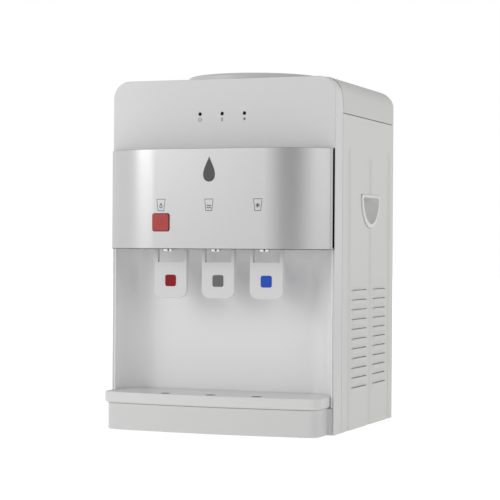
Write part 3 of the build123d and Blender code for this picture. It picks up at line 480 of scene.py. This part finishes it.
class DISPENSER_OT_stage(bpy.types.Operator):
    """Sets out the floor, the soft lights, the room and the camera"""

    bl_idname = "dispenser.stage"
    bl_label = "Stage"

    def execute(self, context):
        self.floor()
        self.room()
        self.softboxes()
        self.camera()
        context.scene.view_settings.view_transform = "Standard"
        return {"FINISHED"}

    def floor(self):
        stage = settings().stage
        bm = bmesh.new()
        bmesh.ops.create_grid(bm, x_segments=1, y_segments=1, size=14.0)
        mesh = bpy.data.meshes.new("floor")
        bm.to_mesh(mesh)
        bm.free()
        floor = add_object("floor", mesh)
        made = plastic("Floor paint", stage.floor_colour, roughness=0.6, grain=0.0, cloud=0.0)
        shader = made.node_tree.nodes["Principled BSDF"]
        shader.inputs["Specular IOR Level"].default_value = 0.1
        shader.inputs["Emission Color"].default_value = WHITE
        nodes = Nodes(made.node_tree)
        seen = nodes.add("ShaderNodeLightPath").outputs["Is Camera Ray"]
        glow = nodes.maths("MULTIPLY_ADD", seen, stage.floor_glow, stage.floor_bounce)
        made.node_tree.links.new(glow, shader.inputs["Emission Strength"])
        dress(floor, made)

    def room(self):
        """Even light from all round, with a darker upright stretch in front; the backdrop itself is white."""
        stage = settings().stage
        world = bpy.data.worlds.new("Studio")
        world.use_nodes = True
        bpy.context.scene.world = world
        world.node_tree.nodes.clear()
        nodes = Nodes(world.node_tree)
        way = nodes.add("ShaderNodeTexCoord").outputs["Generated"]
        flat = nodes.add("ShaderNodeVectorMath", {0: way, 1: (1.0, 1.0, 0.0)}, operation="MULTIPLY").outputs[0]
        level = nodes.add("ShaderNodeVectorMath", {0: flat}, operation="NORMALIZE").outputs[0]
        turn = stage.shade_azimuth
        aim = (math.sin(turn), -math.cos(turn), 0.0)
        facing = nodes.add("ShaderNodeVectorMath", {0: level, 1: aim}, operation="DOT_PRODUCT").outputs["Value"]
        darkest = 1.0 - stage.shade_depth
        ramp = {"Value": facing, "From Min": 0.90, "From Max": 1.0, "To Min": 1.0, "To Max": darkest}
        shade = nodes.add("ShaderNodeMapRange", ramp, interpolation_type="SMOOTHSTEP").outputs[0]
        height = nodes.add("ShaderNodeSeparateXYZ", {0: way}).outputs["Z"]
        overhead = 1.0 - stage.ceiling_depth
        fall = {"Value": height, "From Min": 0.1, "From Max": 0.9, "To Min": 1.0, "To Max": overhead}
        ceiling = nodes.add("ShaderNodeMapRange", fall, interpolation_type="SMOOTHSTEP").outputs[0]
        strength = nodes.maths("MULTIPLY", nodes.maths("MULTIPLY", shade, ceiling), stage.ambient)
        light = nodes.add("ShaderNodeBackground", {"Color": WHITE, "Strength": strength})
        backdrop = nodes.add("ShaderNodeBackground", {"Color": WHITE, "Strength": 1.0})
        seen = nodes.add("ShaderNodeLightPath").outputs["Is Camera Ray"]
        mix = nodes.add("ShaderNodeMixShader", {0: seen, 1: light.outputs[0], 2: backdrop.outputs[0]})
        nodes.add("ShaderNodeOutputWorld", {"Surface": mix.outputs[0]})

    def softboxes(self):
        stage = settings().stage
        self.softbox("left softbox", (-1.9, -2.3, 1.3), 1.6, stage.left_power)
        self.softbox("right softbox", (2.2, -1.1, 1.0), 1.4, stage.right_power)
        self.softbox("top softbox", (0.2, -0.2, 2.4), 1.8, stage.top_power)

    def softbox(self, name, place, size, power):
        light = bpy.data.lights.new(name, "AREA")
        light.shape = "SQUARE"
        light.size = size
        light.energy = power
        made = add_object(name, light)
        target = (CAD_BOX[0] + CAD_BOX[1]) / 2
        made.location = place
        made.rotation_euler = (target - Vector(place)).to_track_quat("-Z", "Y").to_euler()

    def camera(self):
        stage = settings().stage
        data = bpy.data.cameras.new("camera")
        data.lens = stage.camera_lens
        data.sensor_width = 36.0
        data.clip_end = 50.0
        made = add_object("camera", data)
        upright = Matrix.Rotation(math.pi / 2 + stage.camera_pitch, 4, "X")
        turn = Matrix.Rotation(stage.camera_yaw, 4, "Z") @ upright @ Matrix.Rotation(stage.camera_roll, 4, "Z")
        front_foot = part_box("front_frame")[0] * Vector((0.0, 1.0, 1.0))
        made.matrix_world = Matrix.Translation(front_foot + Vector(stage.camera_place)) @ turn
        bpy.context.scene.camera = made


# ---------------------------------------------------------------- case


class DISPENSER_OT_case(bpy.types.Operator):
    """Finishes the moulded case: front frame, top cover, side panels, grips, base and feet"""

    bl_idname = "dispenser.case"
    bl_label = "Case"

    def execute(self, context):
        case = settings().case
        front = plastic("Front gloss white", case.front_colour, roughness=0.30, grain=0.000006, coat=0.15)
        side = plastic("Side textured white", case.side_colour, roughness=0.42, grain=0.00003)
        rear = plastic("Rear matt white", case.rear_colour, roughness=0.55, grain=0.00004)
        grip = plastic("Grip satin white", case.grip_colour, roughness=0.40)
        finish_node("front_frame", front, edge=case.edge)
        # Same textured plastic as the sides, painted darker as shade on the top.
        top = plastic("Top textured white, painted shade", case.top_colour, roughness=0.42, grain=0.00003)
        finish_node("top_cover", top, edge=case.edge)
        for hand in ("right", "left"):
            finish_node(f"{hand}_side_panel", side, edge=case.edge / 2, segments=1)
            finish_node(f"{hand}_grip_cup", grip, edge=case.edge)
        finish_node("rear_panel", rear, edge=case.edge / 2, segments=1)
        dress(NODES["base_plate"], rear)
        finish_node("rubber_feet", plastic("Foot rubber", (0.03, 0.03, 0.03), roughness=0.75, grain=0.00005))
        return {"FINISHED"}


def louvre_tree():
    """Geometry group: a column of louvre hoods, each a wedge with run-out ends that stands out of a panel."""
    inputs = [
        ("Rows", "NodeSocketInt", 11),
        ("Pitch", FLOAT, 0.014),
        ("Length", FLOAT, 0.07),
        ("Height", FLOAT, 0.0085),
        ("Rise", FLOAT, 0.0026),
        ("End length", FLOAT, 0.006),
        ("Side", FLOAT, 1.0),
        ("Start", "NodeSocketVector", (0.0, 0.0, 0.0)),
        ("Material", "NodeSocketMaterial", None),
    ]
    tree = bpy.data.node_groups.new("Louvre column", "GeometryNodeTree")
    tree.interface.new_socket("Geometry", in_out="INPUT", socket_type="NodeSocketGeometry")
    for socket, socket_type, default in inputs:
        made = tree.interface.new_socket(socket, in_out="INPUT", socket_type=socket_type)
        if default is not None:
            made.default_value = default
    tree.interface.new_socket("Geometry", in_out="OUTPUT", socket_type="NodeSocketGeometry")
    nodes = Nodes(tree)
    given = nodes.add("NodeGroupInput").outputs
    skirt = 0.4 * MM
    size = nodes.add("ShaderNodeCombineXYZ", {"X": skirt, "Y": given["Length"], "Z": given["Height"]}).outputs[0]
    counts = {"Size": size, "Vertices X": 2, "Vertices Y": 25, "Vertices Z": 9}
    wedge = nodes.add("GeometryNodeMeshCube", counts).outputs["Mesh"]
    place = nodes.add("GeometryNodeInputPosition").outputs[0]
    at = nodes.add("ShaderNodeSeparateXYZ", {0: place}).outputs
    outward = nodes.maths("GREATER_THAN", nodes.maths("MULTIPLY", at["X"], given["Side"]), 0.0)
    climb = nodes.maths("ADD", nodes.maths("DIVIDE", at["Z"], given["Height"]), 0.5)
    climb = nodes.maths("POWER", nodes.maths("MAXIMUM", climb, 0.0), 1.3)
    climb = nodes.maths("MULTIPLY_ADD", climb, 0.65, 0.35)
    half_length = nodes.maths("MULTIPLY", given["Length"], 0.5)
    reach = nodes.maths("SUBTRACT", half_length, nodes.maths("ABSOLUTE", at["Y"]))
    run_out = {"Value": reach, "From Min": 0.0, "From Max": given["End length"]}
    ends = nodes.add("ShaderNodeMapRange", run_out, interpolation_type="SMOOTHSTEP").outputs[0]
    swell = nodes.maths("MULTIPLY", nodes.maths("MULTIPLY", climb, ends), given["Rise"])
    shift = nodes.maths("MULTIPLY", nodes.maths("MULTIPLY", swell, outward), given["Side"])
    offset = nodes.add("ShaderNodeCombineXYZ", {"X": shift}).outputs[0]
    shaped = nodes.add("GeometryNodeSetPosition", {"Geometry": wedge, "Offset": offset}).outputs[0]
    step = nodes.add("ShaderNodeCombineXYZ", {"Z": given["Pitch"]}).outputs[0]
    row = {"Count": given["Rows"], "Start Location": given["Start"], "Offset": step}
    column = nodes.add("GeometryNodeMeshLine", row).outputs[0]
    placed = nodes.add("GeometryNodeInstanceOnPoints", {"Points": column, "Instance": shaped}).outputs[0]
    real = nodes.add("GeometryNodeRealizeInstances", {0: placed}).outputs[0]
    soft = nodes.add("GeometryNodeSetShadeSmooth", {"Geometry": real}).outputs[0]
    coated = {"Geometry": soft, "Material": given["Material"]}
    finished = nodes.add("GeometryNodeSetMaterial", coated).outputs[0]
    nodes.add("NodeGroupOutput", {"Geometry": finished})
    return tree


def run_tree(name, tree, values):
    """A plain mesh made by a geometry group, with its inputs set by name."""
    holder = add_object(name, bpy.data.meshes.new(name))
    modifier = holder.modifiers.new("Build", "NODES")
    modifier.node_group = tree
    for item in tree.interface.items_tree:
        if item.in_out == "INPUT" and item.name in values:
            modifier[item.identifier] = values[item.name]
    return plain(holder)


class DISPENSER_OT_louvres(bpy.types.Operator):
    """Adds the louvre hoods at the slits of both side panels, and the filters behind them"""

    bl_idname = "dispenser.louvres"
    bl_label = "Louvres"

    def execute(self, context):
        louvre = settings().louvre
        tree = louvre_tree()
        low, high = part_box("right_side_panel")
        front = low.y - PANEL_SETBACK
        for hand, side in (("right", 1.0), ("left", -1.0)):
            for column, (y0, y1) in LOUVRE_COLUMNS.items():
                start_z = low.z + louvre.low - louvre.lip_gap - louvre.height / 2
                values = {
                    "Rows": louvre.rows,
                    "Pitch": louvre.pitch,
                    "Length": y1 - y0,
                    "Height": louvre.height,
                    "Rise": louvre.rise,
                    "End length": louvre.end_length,
                    "Side": side,
                    "Start": (side * (high.x - 0.1 * MM), front + (y0 + y1) / 2, start_z),
                    "Material": bpy.data.materials["Side textured white"],
                }
                piece = run_tree(f"{hand}_{column}_louvres", tree, values)
                smooth(piece, 50.0)
                settle(piece, "case")
                self.filter_pad(hand, column, side, (front + y0, front + y1), low.z)
        return {"FINISHED"}

    def filter_pad(self, hand, column, side, reach, foot):
        """Thin felt dust filter behind one column of louvres."""
        louvre = settings().louvre
        felt = plastic(
            "Filter felt", louvre.felt_colour, roughness=0.95, grain=0.0002, cloud=0.3, grain_size=900.0
        )
        bottom = foot + louvre.low - PAD_MARGIN
        top = foot + louvre.low + (louvre.rows - 1) * louvre.pitch + PAD_MARGIN
        outline = [(reach[0], bottom), (reach[1], bottom), (reach[1], top), (reach[0], top)]
        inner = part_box("right_side_panel")[1].x - PAD_DEPTH
        pad = slab(f"{hand}_{column}_filter", outline, -side * inner, PAD_HALF_THICKNESS)
        pad.data.transform(Matrix.Rotation(math.pi / 2, 4, "Z"))
        settle(pad, "case", felt)


# ---------------------------------------------------------------- alcove and tray


class DISPENSER_OT_alcove(bpy.types.Operator):
    """Finishes the splash wall, the foot of the front, the drip tray, its cup plate and strainers"""

    bl_idname = "dispenser.alcove"
    bl_label = "Alcove and tray"

    def execute(self, context):
        tray = settings().tray
        # The splash wall is painted lighter than the case: painted light lifting the shade under the hood.
        splash = plastic("Splash gloss white, painted light", tray.splash_colour, roughness=0.16, grain=0.0, coat=0.6, ior=1.55)
        body = plastic("Tray satin white", tray.colour, roughness=0.32, grain=0.000006, coat=0.1)
        shelf = plastic("Shelf satin white", tray.shelf_colour, roughness=0.34, grain=0.000008)
        finish_node("splash_panel", splash, edge=0.5 * MM)
        finish_node("tray_shelf", shelf, edge=0.8 * MM)
        finish_node("drip_tray", body, edge=0.8 * MM, segments=3)
        finish_node("drip_grid", body, edge=0.5 * MM)
        self.strainers(tray)
        return {"FINISHED"}

    def strainers(self, tray):
        """Wire strainers set into the drain holes of the cup plate, above their bars; their near-black colour is
        painted shade for the holes' dark insides.
        """
        # The strainers are real parts; their near-black colour is painted shade for the dark inside of the drain
        # holes.
        wire = plastic("Strainer near-black, painted hole shade", (0.035, 0.035, 0.035), roughness=0.45)
        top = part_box("drip_grid")[1].z
        rim = STRAINER_RADII_MM[0] * MM
        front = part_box("front_frame")[0].y + tray.drain_offset
        lay_flat = Matrix.Rotation(math.pi / 2, 4, "X")
        for step in (-1, 0, 1):
            centre = (step * tray.drain_pitch, -front)
            paths = [ring_path(centre, radius * MM) for radius in STRAINER_RADII_MM]
            for spoke in range(4):
                turn = math.pi * spoke / 4
                reach = (rim * math.cos(turn), rim * math.sin(turn))
                ends = [(centre[0] + way * reach[0], centre[1] + way * reach[1]) for way in (-1, 1)]
                paths.append((ends, False))
            piece = stroke(f"drain_strainer_{step + 2}", paths, 0.9 * MM, top - 0.55 * MM, 0.35 * MM)
            piece.data.transform(lay_flat)
            settle(piece, "drip_grid", wire)


# ---------------------------------------------------------------- hood, marks and button


class DISPENSER_OT_hood(bpy.types.Operator):
    """Finishes the bowed hood and the child-lock button"""

    bl_idname = "dispenser.hood"
    bl_label = "Hood"

    def execute(self, context):
        hood = settings().hood
        pearl = plastic(
            "Silver pearl",
            hood.pearl_colour,
            hood.roughness,
            grain=0.000004,
            cloud=0.01,
            coat=0.25,
            metal=hood.metal,
        )
        shell = finish_node("tap_hood", pearl, edge=0.4 * MM)
        # The hood's downward-facing faces get a near-black plastic: painted shade for the dark line along the
        # hood's bottom edge.
        shell.data.materials.append(plastic("Hood underside painted shade", (0.09, 0.09, 0.09), roughness=0.6))
        for face in shell.data.polygons:
            if face.normal.z < SHADED_UNDERSIDE_SLOPE:
                face.material_index = 1
        red = plastic("Button red", settings().tap.button_colour, roughness=0.28, grain=0.000004, coat=0.2)
        finish_node("safety_button", red, edge=0.5 * MM)
        self.button_mark(red)
        self.button_recess()
        return {"FINISHED"}

    def button_recess(self):
        """Painted shade: a dark line on the hood face standing in for the shadow in the gap around the button."""
        low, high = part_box("safety_button")
        inset = BUTTON_FLANGE - 0.3 * MM
        corner = 2.5 * MM
        points = []
        for centre_x, centre_z, start in (
            (high.x - inset - corner, high.z - inset - corner, 0),
            (low.x + inset + corner, high.z - inset - corner, 90),
            (low.x + inset + corner, low.z + inset + corner, 180),
            (high.x - inset - corner, low.z + inset + corner, 270),
        ):
            points += arc((centre_x, centre_z), corner, start, start + 90, 5)
        # Dark reddish plastic painted as the shade in the gap around the button.
        dark = plastic("Painted gap shade", (0.10, 0.022, 0.022), roughness=0.7, grain=0.0)
        line = stroke("button_recess", [(points, True)], 1.3 * MM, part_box("tap_hood")[0].y, 0.12 * MM)
        settle(line, "case", dark)

    def button_mark(self, red):
        """Raised ring and bar on the button, in its own plastic."""
        low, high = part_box("safety_button")
        centre = ((low.x + high.x) / 2, (low.z + high.z) / 2)
        ring = arc(centre, 4.2 * MM, 120, 420, 28)
        bar = [(centre[0], centre[1] + 1.0 * MM), (centre[0], centre[1] + 5.6 * MM)]
        mark = stroke("button_mark", [(ring, False), (bar, False)], 0.8 * MM, low.y, 0.25 * MM)
        settle(mark, "safety_button", red)


def droplet(x, z, height, steps=48):
    """Outline of a plain drop, point up, centred on (x, z)."""
    half = height / 2
    points = []
    for step in range(steps):
        turn = 2 * math.pi * step / steps
        swell = math.sin(turn) * math.sin(turn / 2) ** 1.6
        points.append((x + 0.72 * half * swell, z + half * math.cos(turn)))
    return points


def cup_paths(x, z, height):
    """Outline of a tumbler, wider at its rim."""
    half = height / 2
    rim, foot = 0.39 * height, 0.27 * height
    tumbler = [(x - rim, z + half), (x - foot, z - half), (x + foot, z - half), (x + rim, z + half)]
    return [(tumbler, True)]


def flame_paths(x, z, size):
    outline = droplet(x, z, size, 20)
    return [(outline, True)]


def wave_paths(x, z, size):
    paths = []
    for drop in (0.0, 0.45):
        points = []
        for step in range(13):
            along = step / 12
            ripple = 0.08 * size * math.sin(4 * math.pi * along)
            points.append((x + size * (along - 0.5), z - size * drop + ripple))
        paths.append((points, False))
    return paths


def flake_paths(x, z, size):
    """Six-armed flake."""
    paths = []
    for step in range(3):
        turn = math.pi * step / 3 + math.pi / 2
        dx, dz = size / 2 * math.cos(turn), size / 2 * math.sin(turn)
        paths.append(([(x - dx, z - dz), (x + dx, z + dz)], False))
    return paths


def switch_paths(x, z, size):
    """Broken ring with an upright bar."""
    ring = arc((x, z), size / 2, 125, 415, 16)
    return [(ring, False), ([(x, z + 0.05 * size), (x, z + 0.6 * size)], False)]


class DISPENSER_OT_marks(bpy.types.Operator):
    """Prints the plain droplet, the cup marks over the taps and the marks under the lamps"""

    bl_idname = "dispenser.marks"
    bl_label = "Printed marks"

    def execute(self, context):
        hood = settings().hood
        ink = plastic("Grey print", hood.ink_colour, roughness=0.5, grain=0.0, cloud=0.05)
        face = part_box("tap_hood")[0].y
        self.drop_mark(hood, ink, face)
        self.cup_marks(hood, ink, face)
        self.lamp_marks(ink)
        return {"FINISHED"}

    def drop_mark(self, hood, ink, face):
        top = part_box("tap_hood")[1].z - 11 * MM
        outline = droplet(0.0, top - hood.drop_height / 2, hood.drop_height)
        mark = slab("droplet_mark", outline, face, 0.08 * MM)
        settle(mark, "case", ink)

    def cup_marks(self, hood, ink, face):
        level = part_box("safety_button")[1].z + 10.5 * MM
        inner = {"hot": flame_paths, "ambient": wave_paths, "cold": flake_paths}
        for tap in TAPS:
            x = middle(f"{tap}_lever").x
            paths = cup_paths(x, level, hood.icon_height)
            paths += inner[tap](x, level - 0.05 * hood.icon_height, 0.42 * hood.icon_height)
            mark = stroke(f"{tap}_cup_mark", paths, hood.line, face, 0.08 * MM)
            settle(mark, "case", ink)

    def lamp_marks(self, ink):
        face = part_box("front_frame")[0].y
        reach, height = lamp_places()
        level = height - 8.0 * MM
        size = 4.8 * MM
        for x, draw in ((-reach, switch_paths), (0.0, flame_paths), (reach, flake_paths)):
            name = f"lamp_mark_{draw.__name__.split('_')[0]}"
            mark = stroke(name, draw(x, level, size), 0.8 * MM, face, 0.06 * MM)
            settle(mark, "case", ink)


class DISPENSER_OT_lamps(bpy.types.Operator):
    """Finishes the indicator lenses and the rings around them"""

    bl_idname = "dispenser.lamps"
    bl_label = "Lamps"

    def execute(self, context):
        lens = plastic("Dark lens", (0.006, 0.006, 0.006), roughness=0.3, grain=0.0, cloud=0.0, ior=1.2)
        finish_node("indicator_lenses", lens, edge=0.2 * MM)
        trim = plastic("Lamp ring", (0.88, 0.87, 0.84), roughness=0.3, grain=0.0)
        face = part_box("front_frame")[0].y
        reach, height = lamp_places()
        rings = [ring_path((x, height), LAMP_RING_RADIUS) for x in (-reach, 0.0, reach)]
        settle(stroke("lamp_rings", rings, 0.5 * MM, face, 0.22 * MM), "case", trim)
        return {"FINISHED"}


# ---------------------------------------------------------------- taps


class DISPENSER_OT_taps(bpy.types.Operator):
    """Finishes the spouts, levers, badges and the tap works behind the hood"""

    bl_idname = "dispenser.taps"
    bl_label = "Taps"

    def execute(self, context):
        tap = settings().tap
        lever = plastic("Lever gloss white", tap.lever_colour, roughness=0.22, grain=0.0, coat=0.3)
        chrome = metal("Chrome plate", (0.86, 0.86, 0.87), roughness=0.06, lines=0.02, relief=0.0)
        moulded = fitting_white()
        spring = metal("Spring steel", (0.55, 0.55, 0.55), roughness=0.3)
        tints = {"hot": tap.hot_colour, "ambient": tap.ambient_colour, "cold": tap.cold_colour}
        for name in TAPS:
            finish_node(f"{name}_spout", chrome, edge=0.3 * MM, segments=3)
            finish_node(f"{name}_lever", lever, edge=0.5 * MM)
            title = f"{name.capitalize()} badge"
            gem = plastic(title, tints[name], roughness=0.14, grain=0.0, coat=0.1, ior=1.25)
            finish_node(f"{name}_badge", gem, edge=0.4 * MM)
            finish_node(f"{name}_tap_body", moulded, edge=0.3 * MM)
            dress(NODES[f"{name}_valve_stem"], moulded)
            self.valve_spring(name, spring)
        dress(NODES["pivot_pins"], spring)
        dress(NODES["tap_nuts"], moulded)
        # The tap bracket is a real part; its near-black colour is painted shade, so its ends show as the dark gap
        # at the hood's ends.
        dark = plastic("Bracket near-black, painted gap shade", (0.012, 0.012, 0.012), roughness=0.6)
        finish_node("tap_bracket", dark, edge=0.3 * MM)
        return {"FINISHED"}

    def valve_spring(self, name, finish):
        """The spring under the cap of a valve stem, finished with a mesh of its own."""
        node = f"{name}_valve_spring"
        piece = finish_node(node, finish, edge=0)
        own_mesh(piece)


# ---------------------------------------------------------------- bottle seat


class DISPENSER_OT_bottle_seat(bpy.types.Operator):
    """Finishes the lift-out bottle seat and its probe"""

    bl_idname = "dispenser.bottle_seat"
    bl_label = "Bottle seat"

    def execute(self, context):
        seat = plastic("Collar grey", settings().case.seat_colour, roughness=0.36, grain=0.00001)
        finish_node("bottle_collar", seat, edge=0.5 * MM)
        finish_node("bottle_probe", fitting_white(), edge=0.3 * MM)
        return {"FINISHED"}


# ---------------------------------------------------------------- rear and inside


class DISPENSER_OT_rear(bpy.types.Operator):
    """Finishes the switches, cord gland, drain and screws at the rear"""

    bl_idname = "dispenser.rear"
    bl_label = "Rear fittings"

    def execute(self, context):
        black = plastic("Switch black", (0.018, 0.018, 0.018), roughness=0.35)
        for node in ("switch_housings", "fan_frame", "fan_impeller"):
            finish_node(node, black, edge=0.3 * MM)
        red = plastic("Switch red", (0.42, 0.02, 0.02), roughness=0.2, coat=0.3)
        finish_node("hot_switch", red, edge=0.3 * MM)
        green = plastic("Switch green", (0.02, 0.22, 0.06), roughness=0.2, coat=0.3)
        finish_node("cold_switch", green, edge=0.3 * MM)
        finish_node("cord_gland", plastic("Gland rubber", (0.02, 0.02, 0.02), roughness=0.7), edge=0.3 * MM)
        finish_node("drain_cap", plastic("Cap grey", (0.45, 0.45, 0.45), roughness=0.45), edge=0.3 * MM)
        dress(NODES["drain_outlet"], fitting_white())
        finish_node("case_screws", metal("Zinc plate", (0.55, 0.55, 0.56), roughness=0.3), edge=0.1 * MM)
        return {"FINISHED"}


class DISPENSER_OT_inside(bpy.types.Operator):
    """Gives the tanks, hoses, cooler and boards their materials"""

    bl_idname = "dispenser.inside"
    bl_label = "Inside"

    def execute(self, context):
        steel = metal("Tank steel", (0.56, 0.56, 0.57), roughness=0.28, lines=0.2)
        foam = plastic("Foam jacket", (0.06, 0.06, 0.06), roughness=0.9, grain=0.0003, grain_size=500.0)
        hose = plastic("Silicone hose", (0.70, 0.70, 0.66), roughness=0.35, grain=0.0)
        board = plastic("Board lacquer", (0.02, 0.14, 0.05), roughness=0.3, grain=0.0)
        finishes = {
            "cold_tank": steel,
            "hot_tank": steel,
            "cold_jacket": foam,
            "hot_jacket": foam,
            "hot_hose": hose,
            "ambient_hose": hose,
            "cold_hose": hose,
            "feed_hose": hose,
            "peltier_module": plastic("Ceramic white", (0.80, 0.80, 0.76), roughness=0.5),
            "heat_sink": metal("Extruded aluminium", (0.72, 0.72, 0.73), roughness=0.35, lines=0.25),
            "power_board": board,
            "indicator_board": board,
        }
        for node, finish in finishes.items():
            dress(NODES[node], finish)
        return {"FINISHED"}


# ---------------------------------------------------------------- panel and registration


class DISPENSER_PG_all(bpy.types.PropertyGroup):
    stage: bpy.props.PointerProperty(type=DISPENSER_PG_stage, name="Stage", description="Camera, room and lights")
    case: bpy.props.PointerProperty(type=DISPENSER_PG_case, name="Case", description="Moulded case")
    louvre: bpy.props.PointerProperty(type=DISPENSER_PG_louvre, name="Louvres", description="Side louvres")
    hood: bpy.props.PointerProperty(type=DISPENSER_PG_hood, name="Hood", description="Hood and its marks")
    tap: bpy.props.PointerProperty(type=DISPENSER_PG_tap, name="Taps", description="Levers, badges and button")
    tray: bpy.props.PointerProperty(type=DISPENSER_PG_tray, name="Tray", description="Tray and splash wall")


STEPS = (
    DISPENSER_OT_stage,
    DISPENSER_OT_case,
    DISPENSER_OT_louvres,
    DISPENSER_OT_alcove,
    DISPENSER_OT_hood,
    DISPENSER_OT_marks,
    DISPENSER_OT_lamps,
    DISPENSER_OT_taps,
    DISPENSER_OT_bottle_seat,
    DISPENSER_OT_rear,
    DISPENSER_OT_inside,
)


class DISPENSER_PT_panel(bpy.types.Panel):
    """Lists the steps that finish the dispenser, in order"""

    bl_label = "Water dispenser"
    bl_idname = "DISPENSER_PT_panel"
    bl_space_type = "VIEW_3D"
    bl_region_type = "UI"
    bl_category = "Dispenser"

    def draw(self, context):
        for step in STEPS:
            self.layout.operator(step.bl_idname)


GROUPS = (
    DISPENSER_PG_stage,
    DISPENSER_PG_case,
    DISPENSER_PG_louvre,
    DISPENSER_PG_hood,
    DISPENSER_PG_tap,
    DISPENSER_PG_tray,
    DISPENSER_PG_all,
)
CLASSES = (*GROUPS, *STEPS, DISPENSER_PT_panel)


def register():
    for made in CLASSES:
        bpy.utils.register_class(made)
    bpy.types.Scene.dispenser = bpy.props.PointerProperty(type=DISPENSER_PG_all)


def unregister():
    del bpy.types.Scene.dispenser
    for made in reversed(CLASSES):
        bpy.utils.unregister_class(made)


def main():
    register()
    for step in STEPS:
        family, name = step.bl_idname.split(".")
        getattr(getattr(bpy.ops, family), name)()


if __name__ == "__main__":
    main()
